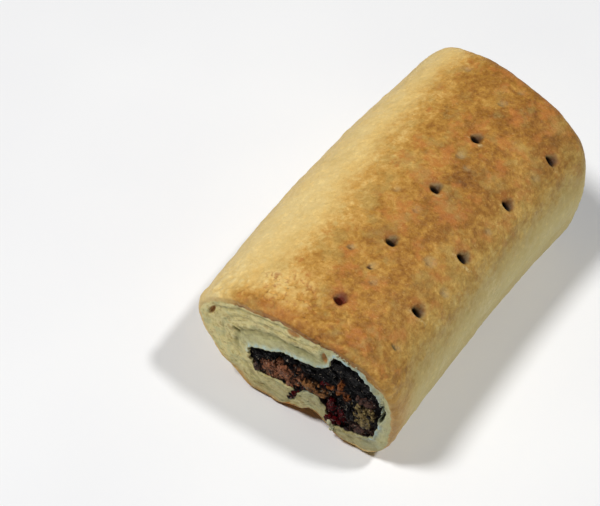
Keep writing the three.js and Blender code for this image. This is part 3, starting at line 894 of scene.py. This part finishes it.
def set_chunk(lump, place, half_x, half_z, lean):
    """Copies a fine lump, stretched to its half width and height and leaned on the cut."""
    turn = Matrix.Rotation(math.radians(lean), 4, "Y")
    return copy_lump(lump, Matrix.Translation(place) @ turn @ Matrix.Diagonal((half_x, 0.8, half_z, 1)))


def join_lumps(name, lumps):
    """One piece from many lumps."""
    heap = lumps[0]
    take_only(heap)
    for lump in lumps:
        lump.select_set(True)
    bpy.ops.object.join()
    bpy.ops.object.transform_apply(location=True, rotation=True, scale=True)
    heap.name = name
    return heap


# Large pieces at the cut, in the order they are drawn: x, z, half width, half height and lean in degrees
CHUNKS = [(kind, *chunk) for kind, group in (
    ("pale_bits", [(18.7, 19.2, 1.5, 2.3, -10), (20.4, 16.4, 1.6, 2.8, 15), (21.7, 20.8, 0.9, 2.0, -5)]),
    ("brown_meat", [(-8.2, 16.2, 1.3, 2.0, 10), (-5.6, 13.6, 1.8, 2.0, -20), (-3.2, 17.6, 1.8, 2.2, 15),
                    (-1.8, 13.8, 1.6, 2.0, 0), (1.2, 18.2, 1.6, 2.2, -10)]),
    ("olive_meat", [(4.6, 17.9, 1.9, 1.2, 10), (7.3, 17.2, 1.4, 1.0, -15)]),
    ("amber_bits", [(13.0, 25.0, 0.5, 2.5, 5), (14.8, 21.0, 0.4, 1.8, 10), (12.0, 21.6, 0.4, 1.5, -15),
                    (9.4, 21.2, 1.3, 0.4, 25)]),
    ("burgundy_bits", [(10.3, 13.8, 1.1, 3.2, 5), (13.2, 10.8, 1.1, 3.8, -4), (11.2, 8.0, 1.3, 2.2, 0)]),
    ("dark_bits", [(15.2, 15.0, 0.7, 2.8, 5)]),
    ("purple_bits", [(18.4, 10.2, 2.0, 2.1, 20), (21.2, 12.4, 1.3, 2.4, -10), (20.3, 24.0, 1.7, 1.1, 0),
                     (-11.4, 13.0, 0.9, 2.0, 0)]),
    ("dark_bits", [(17.2, 21.5, 0.7, 2.4, -12), (16.8, 15.5, 0.6, 2.6, 6), (23.2, 17.0, 0.6, 4.0, -4),
                   (12.2, 17.4, 0.8, 2.0, 10), (-10.6, 20.0, 1.6, 1.1, -25)]),
    ("brown_meat", [(-4.4, 19.6, 1.9, 1.3, -25)]),
    ("dark_bits", [(-2.0, 23.6, 2.2, 1.3, -22), (3.0, 23.4, 2.4, 1.4, -15), (7.6, 25.4, 2.2, 1.6, -35),
                   (12.4, 33.0, 1.6, 2.6, 10), (16.0, 31.6, 2.0, 2.4, 40), (19.8, 30.0, 1.8, 2.6, 25),
                   (18.0, 26.8, 1.6, 1.8, 10), (9.6, 28.6, 1.6, 1.8, -40)]),
) for chunk in group]

# The back cut is narrower than the front one, and its large pieces are drawn in with it
BACK_CHUNKS = 0.8

# Bits go in from large to small: their shape, how far apart, radius, how flat, how deep they sit, and tries
PASSES = [
    {"shape": "chunk", "apart": 3.4, "size": (0.9, 1.3), "flat": 0.5, "sunk": (0.4, 0.9), "tries": 200},
    {"shape": "bit", "apart": 0.95, "size": (0.4, 0.75), "flat": 0.6, "sunk": (0.1, 0.5), "tries": 1100},
    {"shape": "grit", "apart": 0.6, "size": (0.2, 0.36), "flat": 0.8, "sunk": (0.0, 0.3), "tries": 1800},
]
BURGUNDY_SPILL = {"x": (9.4, 13.2), "z": (6.8, 9.8), "count": 30}
DRIP_BITS = 70

# The shares of dark and of other bits that stay, and of the others that turn out dark
DARK_KEPT = 0.35
OTHERS_KEPT = 0.7
TURNED_DARK = 0.35


def inside_line(x, z, line):
    """Whether each place lies inside a closed line, by counting crossings."""
    crossings = np.zeros(len(x), bool)
    ends = np.roll(line, -1, axis=0)
    for (ax, az), (bx, bz) in zip(line, ends):
        spans = (az > z) != (bz > z)
        if az != bz:
            crossings ^= spans & (x < (bx - ax) * (z - az) / (bz - az) + ax)
    return crossings


def kind_at(x, z):
    kind = "dark_bits"
    for zone in ZONES:
        if zone_share(x, z, zone) > 0.5:
            kind = zone[0]
    return kind


def torn_at(x, z, inward):
    """How far behind a cut the mince lies at one place."""
    return torn_depth(np.array([[x, -inward * TORN_PLANE, z]]))[0]


def scatter_bits(heaps, shapes, draw, line, cut, inward):
    """Bits over the mince at one cut, each apart from those before it."""
    low, high = line.min(0), line.max(0)
    kept = np.empty((0, 2))
    for turn in PASSES:
        tries = draw.uniform(low, high, size=(turn["tries"], 2))
        for x, z in tries[inside_line(tries[:, 0], tries[:, 1], line)]:
            if len(kept) and np.min(np.hypot(kept[:, 0] - x, kept[:, 1] - z)) < turn["apart"]:
                continue
            kept = np.append(kept, [[x, z]], axis=0)
            kind = kind_at(*from_cut(x, z))
            if draw.uniform() > (DARK_KEPT if kind == "dark_bits" else OTHERS_KEPT):
                continue
            if draw.uniform() < TURNED_DARK:
                kind = "dark_bits"
            size = draw.uniform(*turn["size"])
            depth = torn_at(x, z, inward) + draw.uniform(*turn["sunk"]) * size
            lump = shapes[turn["shape"]][draw.integers(len(shapes[turn["shape"]]))]
            place = (x, cut(x, z) + inward * depth, z)
            heaps[kind].append(set_lump(lump, place, size, draw.uniform(1, 1.7), turn["flat"], draw))


def set_chunks(heaps, shapes, draw, line, cut, inward):
    """The large pieces at one cut; at the back one, those that would reach into the dough are left out."""
    drawn_in = 1 if inward > 0 else BACK_CHUNKS
    for kind, x, z, half_x, half_z, lean in CHUNKS:
        x, z = at_cut(x * drawn_in, MID_HEIGHT + (z - MID_HEIGHT) * drawn_in)
        half_x, half_z = half_x * drawn_in, half_z * drawn_in
        reach = np.array([[-half_x, 0], [half_x, 0], [0, -half_z], [0, half_z]]) + [x, z]
        if inward < 0 and not inside_line(reach[:, 0], reach[:, 1], line).all():
            continue
        lump = shapes["chunk"][draw.integers(3)]
        place = (x, cut(x, z) + inward * (torn_at(x, z, inward) + 0.25), z)
        heaps[kind].append(set_chunk(lump, place, half_x, half_z, lean))


def mince_bits(shapes):
    """Bits that stand out of the mince at both cuts, one piece for each kind."""
    draw = np.random.default_rng(5)
    heaps = defaultdict(list)
    for along, inset, cut, inward in ((0, 1.0, front_cut, 1), (1, BACK_EDGE["inset"], back_cut, -1)):
        line = cavity_ring(along, inset)[:, [0, 2]]
        scatter_bits(heaps, shapes, draw, line, cut, inward)
        set_chunks(heaps, shapes, draw, line, cut, inward)
    spill = BURGUNDY_SPILL
    for _ in range(spill["count"]):
        x, z = at_cut(draw.uniform(*spill["x"]), draw.uniform(*spill["z"]))
        lump = shapes["bit"][draw.integers(5)]
        place = (x, front_cut(x, z) + draw.uniform(-0.1, 0.5), z)
        heaps["burgundy_bits"].append(set_lump(lump, place, draw.uniform(0.35, 0.8), 1.3, 0.7, draw))
    drip = np.array(DRIP["line"])
    for _ in range(DRIP_BITS):
        way = draw.uniform(0, len(drip) - 1.001)
        start, share = int(way), way % 1
        x, z = at_cut(*(lerp(drip[start], drip[start + 1], share) + draw.normal(0, 0.25, 2)))
        kind = "dark_bits" if draw.uniform() < 0.6 else "burgundy_bits"
        lump = shapes["bit"][draw.integers(5)]
        place = (x, front_cut(x, z) + draw.uniform(0.4, 0.9), z)
        heaps[kind].append(set_lump(lump, place, draw.uniform(0.4, 0.8), 1.3, 0.6, draw))
    return [join_lumps(kind, lumps) for kind, lumps in heaps.items()]


# Crumbs at the mince's edge: where they gather, as station, spread and count, then size and scatter
EDGE_CRUMBS = {"clusters": [(6.45, 0.3, 26), (4.5, 0.35, 24)], "size": (0.1, 0.3), "scatter": 0.35}

# The curled flake on the dough below the mince: where it runs, how far it bends, and its bits
CURLED_FLAKE = {"x": 10.8, "z": (8.2, 3.6), "bend": 0.8, "bits": 9, "size": (0.75, 0.45)}


def pastry_crumbs(shapes):
    """Pale crumbs along the mince's upper right edge, and one curled flake at its lower edge."""
    draw = np.random.default_rng(9)
    lumps = []
    turns = np.concatenate([draw.normal(*cluster) for cluster in EDGE_CRUMBS["clusters"]]) / len(STATIONS)
    for inner, outer in zip(cavity_line(turns), crust_line(turns)):
        way = (outer - inner) / np.linalg.norm(outer - inner)
        x, z = inner + way * (0.25 + draw.normal(0, EDGE_CRUMBS["scatter"]))
        lump = shapes["bit"][draw.integers(5)]
        x, z = at_cut(x, z)
        place = (x, front_cut(x, z) + draw.uniform(-0.1, 0.25), z)
        lumps.append(set_lump(lump, place, draw.uniform(*EDGE_CRUMBS["size"]), 1.3, 0.8, draw))
    flake = CURLED_FLAKE
    for share in np.linspace(0, 1, flake["bits"]):
        x, z = at_cut(flake["x"] + flake["bend"] * math.sin(share * 3.1), lerp(*flake["z"], share))
        place = (x, front_cut(x, z) - 0.5 + 0.5 * share, z)
        lumps.append(set_lump(shapes["bit"][1], place, lerp(*flake["size"], share), 1.4, 0.6, draw))
    return join_lumps("pastry_crumbs", lumps)


# ---- Finishes ----


def tone(red, green, blue):
    """A colour on the usual 0 to 255 scale, as the shader's own linear numbers."""
    def linear(value):
        value /= 255
        return value / 12.92 if value <= 0.04045 else ((value + 0.055) / 1.055) ** 2.4
    return (linear(red), linear(green), linear(blue), 1)


def as_colour(value):
    """Three numbers are a tone; a colour or another node's output stays as it is."""
    return tone(*value) if isinstance(value, tuple) and len(value) == 3 else value


class Finish:
    """A material with its shader, and short ways to add and join nodes."""

    def __init__(self, name, **constants):
        self.material = bpy.data.materials.new(name)
        self.material.use_nodes = True
        self.tree = self.material.node_tree
        self.shader = self.tree.nodes["Principled BSDF"]
        for socket, value in constants.items():
            self.shader.inputs[socket.replace("_", " ")].default_value = value

    def add(self, kind, inputs=None, **settings):
        node = self.tree.nodes.new(kind)
        for name, value in settings.items():
            setattr(node, name, value)
        for name, value in (inputs or {}).items():
            self.give(node.inputs[name], value)
        return node

    def give(self, socket, value):
        if isinstance(value, bpy.types.NodeSocket):
            self.tree.links.new(value, socket)
        else:
            socket.default_value = value

    def mark(self, name, part="Fac"):
        return self.add("ShaderNodeAttribute", attribute_name=name).outputs[part]

    def vector(self, operation, inputs):
        return self.add("ShaderNodeVectorMath", inputs, operation=operation).outputs[0]

    def place(self):
        coordinates = self.add("ShaderNodeTexCoord").outputs["Object"]
        return self.vector("SCALE", {0: coordinates, "Scale": 1 / METRES})

    def mottle(self, at, size, detail=3, roughness=0.55, distortion=0.0):
        inputs = {"Vector": at, "Scale": 1 / size, "Detail": detail, "Roughness": roughness}
        return self.add("ShaderNodeTexNoise", {**inputs, "Distortion": distortion}).outputs["Fac"]

    def maths(self, operation, one, other=0.0, third=0.0):
        return self.add("ShaderNodeMath", {0: one, 1: other, 2: third}, operation=operation).outputs[0]

    def times(self, one, other):
        return self.maths("MULTIPLY", one, other)

    def swing(self, value, texture, share):
        """The value pushed up and down by a texture."""
        return self.maths("MULTIPLY_ADD", self.maths("SUBTRACT", texture, 0.5), share, value)

    def span(self, value, low, high, to_low=0.0, to_high=1.0):
        inputs = {"Value": value, "From Min": low, "From Max": high, "To Min": to_low, "To Max": to_high}
        return self.add("ShaderNodeMapRange", inputs, interpolation_type="SMOOTHSTEP").outputs[0]

    def blotches(self, at, shift, texture, low, high, most=1.0, least=0.0):
        """Patches of a noise of their own: its shift, then its size, detail and roughness."""
        moved = self.vector("ADD", {0: at, 1: (shift, -shift, shift / 2)})
        return self.span(self.mottle(moved, *texture), low, high, least, most)

    def ramp(self, value, stops):
        node = self.add("ShaderNodeValToRGB", {"Fac": value})
        elements = node.color_ramp.elements
        while len(elements) < len(stops):
            elements.new(0.5)
        for element, (position, colour) in zip(elements, stops):
            element.position = position
            element.color = as_colour(colour)
        return node.outputs["Color"]

    def mix(self, share, one, other, blend="MIX"):
        node = self.add("ShaderNodeMix", data_type="RGBA", blend_type=blend)
        for i, value in ((0, share), (6, as_colour(one)), (7, as_colour(other))):
            self.give(node.inputs[i], value)
        return node.outputs[2]

    def multiplied(self, share, base, colour):
        return self.mix(share, base, self.mix(1.0, base, colour, "MULTIPLY"))

    def painted(self, base, layers):
        """The base under layers of colour, each given as its share and colour."""
        for share, colour in layers:
            base = self.mix(share, base, colour)
        return base

    def bump(self, height, distance, strength=1.0, onto=None):
        inputs = {"Height": height, "Distance": distance * METRES, "Strength": strength}
        if onto:
            inputs["Normal"] = onto
        return self.add("ShaderNodeBump", inputs).outputs["Normal"]

    def set(self, socket, value):
        self.give(self.shader.inputs[socket], value)


SKIN_TONES = [(0.0, (234, 208, 144)), (0.2, (226, 190, 116)), (0.4, (204, 156, 78)),
              (0.58, (180, 130, 54)), (0.76, (154, 104, 38)), (1.0, (118, 72, 22))]
OLIVE_TONES = [(0.1, (196, 186, 122)), (0.45, (176, 156, 88)), (0.8, (146, 112, 50))]
DOUGH_TONES = [(0.1, (178, 154, 90)), (0.34, (222, 204, 131)), (0.6, (244, 229, 163)),
               (0.85, (230, 210, 134))]


def skin_colour(finish, at):
    """Browned skin: from pale gold at the sides to brown along the top, blotchy and a little ruddy, with
    painted shade and shadow in its holes and dents and painted highlights on the holes' near rims.
    """
    mark, mottle, span = finish.mark, finish.mottle, finish.span
    times, blotches = finish.times, finish.blotches
    spots = mottle(at, 1.3, 4, 0.6, 0.3)
    value = mark("bake")
    lively = span(value, 0.15, 0.5, 0.3, 1.0)
    for texture, share in ((mottle(at, 14, 2), 0.45), (mottle(at, 4.0, 4, 0.6, 0.4), 0.72), (spots, 0.75)):
        value = finish.swing(value, texture, times(lively, share))
    warm = times(blotches(at, 40, (5, 3, 0.6), 0.48, 0.66, 0.6), span(value, 0.3, 0.6))
    grey = blotches(at, 31, (2.4, 2), 0.4, 0.6)
    skin = finish.painted(finish.ramp(value, SKIN_TONES), [
        (finish.maths("MAXIMUM", warm, times(mark("reddened"), 0.45)), (190, 118, 56)),
        (times(blotches(at, 90, (6, 3, 0.6), 0.5, 0.68, 0.45), lively), (172, 146, 80)),
        (times(mark("olive"), 0.62), finish.ramp(value, OLIVE_TONES)),
    ])
    skin = finish.multiplied(blotches(at, 9, (1.3, 2, 0.6), 0.5, 0.75, 0.4), skin, (1.35, 1.35, 1.3, 1))
    return finish.painted(skin, [
        (times(mark("pit"), span(spots, 0.3, 0.6, 0.3, 0.75)), (150, 88, 32)),
        (times(mark("dent"), span(spots, 0.3, 0.6, 0.15, 0.5)), (172, 158, 118)),
        # Pale scuff on the right side and painted highlights on the holes' near rims
        (times(mark("scuff"), span(mottle(at, 1.9, 4, 0.7), 0.46, 0.64, 0, 0.55)), (228, 210, 152)),
        (times(mark("crack"), 0.7), (150, 84, 36)),
        (times(blotches(at, 55, (0.45, 2, 0.6), 0.6, 0.78, 0.45), lively), (120, 74, 30)),
        (blotches(at, 77, (0.5, 2, 0.6), 0.58, 0.78, 0.22), (238, 204, 140)),
        # Painted shade down the walls of the holes and dents, and painted shadow inside them
        (span(mark("slope"), 0.0, 0.6, 0, 0.8), finish.mix(grey, (116, 76, 34), (132, 114, 74))),
        (span(mark("slope"), 0.4, 1.0, 0, 0.85), (58, 36, 18)),
        (times(mark("ruddy"), span(spots, 0.3, 0.6, 0.6, 1)), (104, 30, 12)),
        (mark("hole"), (14, 8, 6)),
    ])


def cut_colour(finish, at, crumb):
    """Cut dough: pale layers, whiter round the mince, golden low on the left and darker to the right, with
    painted shade in its hollows.
    """
    mark, span, times, blotches = finish.mark, finish.span, finish.times, finish.blotches
    layers = finish.vector("MULTIPLY", {0: mark("wrap", "Vector"), 1: (0.12, 0.12, 1.1)})
    lines = finish.mottle(layers, 1.0, 4, 0.65, 0.4)
    cut = finish.painted(finish.ramp(finish.swing(lines, crumb, 1.3), DOUGH_TONES), [
        (blotches(at, 70, (2.0, 3, 0.6), 0.54, 0.68, 0.5), (186, 150, 88)),
        (blotches(at, 20, (3.6, 3, 0.6), 0.5, 0.68, 0.55), (204, 204, 150)),
        (times(mark("inner_wrap"), 0.45), (176, 184, 140)),
        (times(mark("rim"), blotches(at, 47, (1.3, 4, 0.65), 0.36, 0.56, 1, 0.3)), (192, 224, 226)),
    ])
    cut = finish.multiplied(mark("shaded"), cut, (0.59, 0.61, 0.66, 1))
    return finish.painted(cut, [
        (times(mark("golden"), span(crumb, 0.35, 0.6, 0.2, 0.9)), (206, 150, 70)),
        (span(mark("parted"), 0.1, 1.6, 0, 0.55), (136, 130, 78)),
        # Painted shade in the seams, gaps, voids and flap, darker the deeper they are sunk
        (span(mark("hollow"), 0.06, 0.6, 0, 0.5), (136, 128, 78)),
        (span(mark("hollow"), 0.9, 2.4), (58, 42, 20)),
        (span(mark("browned"), 0.15, 0.6, 0, 0.85), (192, 128, 58)),
        (blotches(at, 12, (0.55, 2, 0.6), 0.6, 0.75, 0.55), (128, 106, 56)),
        (span(mark("stained"), 0.25, 0.6), (30, 12, 11)),
    ])


def pastry_finish():
    finish = Finish("baked puff pastry", Specular_IOR_Level=0.28)
    span, times, at = finish.span, finish.times, finish.place()
    crumb = finish.mottle(at, 2.0, 4, 0.6)
    under_skin = finish.add("ShaderNodeSeparateXYZ", {0: finish.mark("wrap", "Vector")}).outputs["Z"]
    curl = finish.mark("curl")
    bare = finish.maths("SUBTRACT", finish.swing(under_skin, crumb, 2.2), curl)
    face = span(finish.mark("cut"), 0.5, 0.95)
    rind = times(span(bare, -0.8, -0.2), span(bare, 0.05, 0.4, 1, 0))
    broken = finish.blotches(at, 66, (2.4, 3, 0.6), 0.44, 0.58, 0.75)
    rind = times(times(rind, times(broken, span(curl, 0.8, 1.4))), face)
    on_cut = times(face, span(bare, -0.1, 0.35))
    colour = finish.mix(on_cut, skin_colour(finish, at), cut_colour(finish, at, crumb))
    finish.set("Base Color", finish.mix(rind, colour, (108, 66, 28)))
    finish.set("Roughness", span(finish.mottle(at, 4.4, 2), 0.3, 0.7, 0.46, 0.62))
    normal = finish.bump(finish.mottle(at, 2.2, 3), 0.5, 0.7)
    finish.set("Normal", finish.bump(finish.mottle(at, 0.75, 4, 0.68), 0.34, 1.0, normal))
    return finish.material


def wet_mince(finish, at, base):
    """Mince with pale flecks painted as glints, its bumpy surface dull but for small wet spots that glint."""
    # Painted glints: pale flecks over the mince's colour
    painted_glints = finish.blotches(at, 63, (1.1, 3, 0.7), 0.64, 0.68, 0.7)
    finish.set("Base Color", finish.mix(painted_glints, base, (176, 162, 142)))
    wet = finish.blotches(at, 26, (0.8, 3, 0.65), 0.63, 0.68)
    finish.set("Specular IOR Level", finish.span(wet, 0, 1, 0.03, 0.9))
    finish.set("Roughness", finish.span(finish.mottle(at, 0.8, 2), 0.35, 0.65, 0.08, 0.2))
    finish.set("Normal", finish.bump(finish.mottle(at, 0.5, 4, 0.6), 0.34, 1.0))
    return finish.material


def mince_finish(name, dark, light):
    finish = Finish(name)
    at = finish.place()
    return wet_mince(finish, at, finish.ramp(finish.mottle(at, 0.8, 4, 0.65), [(0.36, dark), (0.62, light)]))


def core_finish():
    finish = Finish("torn mince")
    at = finish.place()
    shades = [(0.36, (0.2, 0.18, 0.18, 1)), (0.62, (1.5, 1.45, 1.4, 1))]
    shade = finish.ramp(finish.mottle(at, 0.6, 4, 0.65), shades)
    return wet_mince(finish, at, finish.mix(1.0, finish.mark("mince_tone", "Color"), shade, "MULTIPLY"))


def plain_finish(name, size, detail, stops, **constants):
    """A material with soft spots of two tones."""
    finish = Finish(name, **constants)
    finish.set("Base Color", finish.ramp(finish.mottle(finish.place(), size, detail), stops))
    return finish.material


# ---- Building the pieces ----


def finish_piece(piece, material, angle=None):
    piece.data.materials.clear()
    piece.data.materials.append(material)
    take_only(piece)
    if angle is None:
        bpy.ops.object.shade_smooth()
    else:
        bpy.ops.object.shade_smooth_by_angle(angle=math.radians(angle))
    to_frame(piece)
    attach(piece, "root")


pastry = rolled_sheet()
raise_skin(pastry)
bake_colour(pastry)
finish_piece(pastry, pastry_finish())
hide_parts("pastry")

core = mince_core()
finish_piece(core, core_finish())
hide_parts("filling")
lumps = lump_shapes()
for bits in mince_bits(lumps):
    finish_piece(bits, mince_finish(bits.name.replace("_", " "), *MINCE_TONES[bits.name]))
crumb_tones = [(0.35, (158, 150, 108)), (0.65, (206, 206, 170))]
crumb_finish = plain_finish("pastry crumbs", 1.2, 3, crumb_tones, Specular_IOR_Level=0.3, Roughness=0.6)
finish_piece(pastry_crumbs(lumps), crumb_finish)
for lump in sum(lumps.values(), []):
    bpy.data.objects.remove(lump)

# ---- Floor, light and camera ----

FLOOR_SIZE = 4.0
FLOOR_TONES = [(0.3, (238, 238, 239)), (0.7, (243, 243, 243))]
CAMERA = {"place": (0.1154, -0.1967, 0.3262), "target": (-0.0187, -0.0201, 0.02), "lens": 90, "sensor": 36}
LIGHTS = {
    "key_light": {"toward": (-0.3, -0.34, 1), "away": 1.4, "size": (0.26, 0.3), "watts": 13.2},
    "back_light": {"toward": (0.4, 0.22, 1), "away": 1.4, "size": (0.14, 0.14), "watts": 8.6},
}
LIGHT_TARGET = (0, 0, 0.02)
FILL = {"Color": (0.8, 0.9, 1, 1), "Strength": 0.018}

object_mode()
floor = add_mesh("plane", size=FLOOR_SIZE)
floor.name = "floor"
floor_finish = plain_finish("pale floor", 90, 2, FLOOR_TONES, Roughness=0.7, Specular_IOR_Level=0.2)
floor.data.materials.append(floor_finish)


def aim(thing, target):
    thing.rotation_euler = (Vector(target) - Vector(thing.location)).to_track_quat("-Z", "Y").to_euler()


for name, light in LIGHTS.items():
    lamp = bpy.data.objects.new(name, bpy.data.lights.new(name, "AREA"))
    lamp.data.shape = "ELLIPSE"
    lamp.data.size, lamp.data.size_y = light["size"]
    lamp.data.energy = light["watts"]
    lamp.location = Vector(light["toward"]).normalized() * light["away"]
    bpy.context.scene.collection.objects.link(lamp)
    aim(lamp, LIGHT_TARGET)

world = bpy.data.worlds.new("soft_room")
world.use_nodes = True
for socket, value in FILL.items():
    world.node_tree.nodes["Background"].inputs[socket].default_value = value
bpy.context.scene.world = world

camera = bpy.data.objects.new("camera", bpy.data.cameras.new("camera"))
camera.data.lens = CAMERA["lens"]
camera.data.sensor_width = CAMERA["sensor"]
camera.location = CAMERA["place"]
bpy.context.scene.collection.objects.link(camera)
aim(camera, CAMERA["target"])
bpy.context.scene.camera = camera
bpy.context.scene.view_settings.view_transform = "Standard"

bpy.context.view_layer.update()
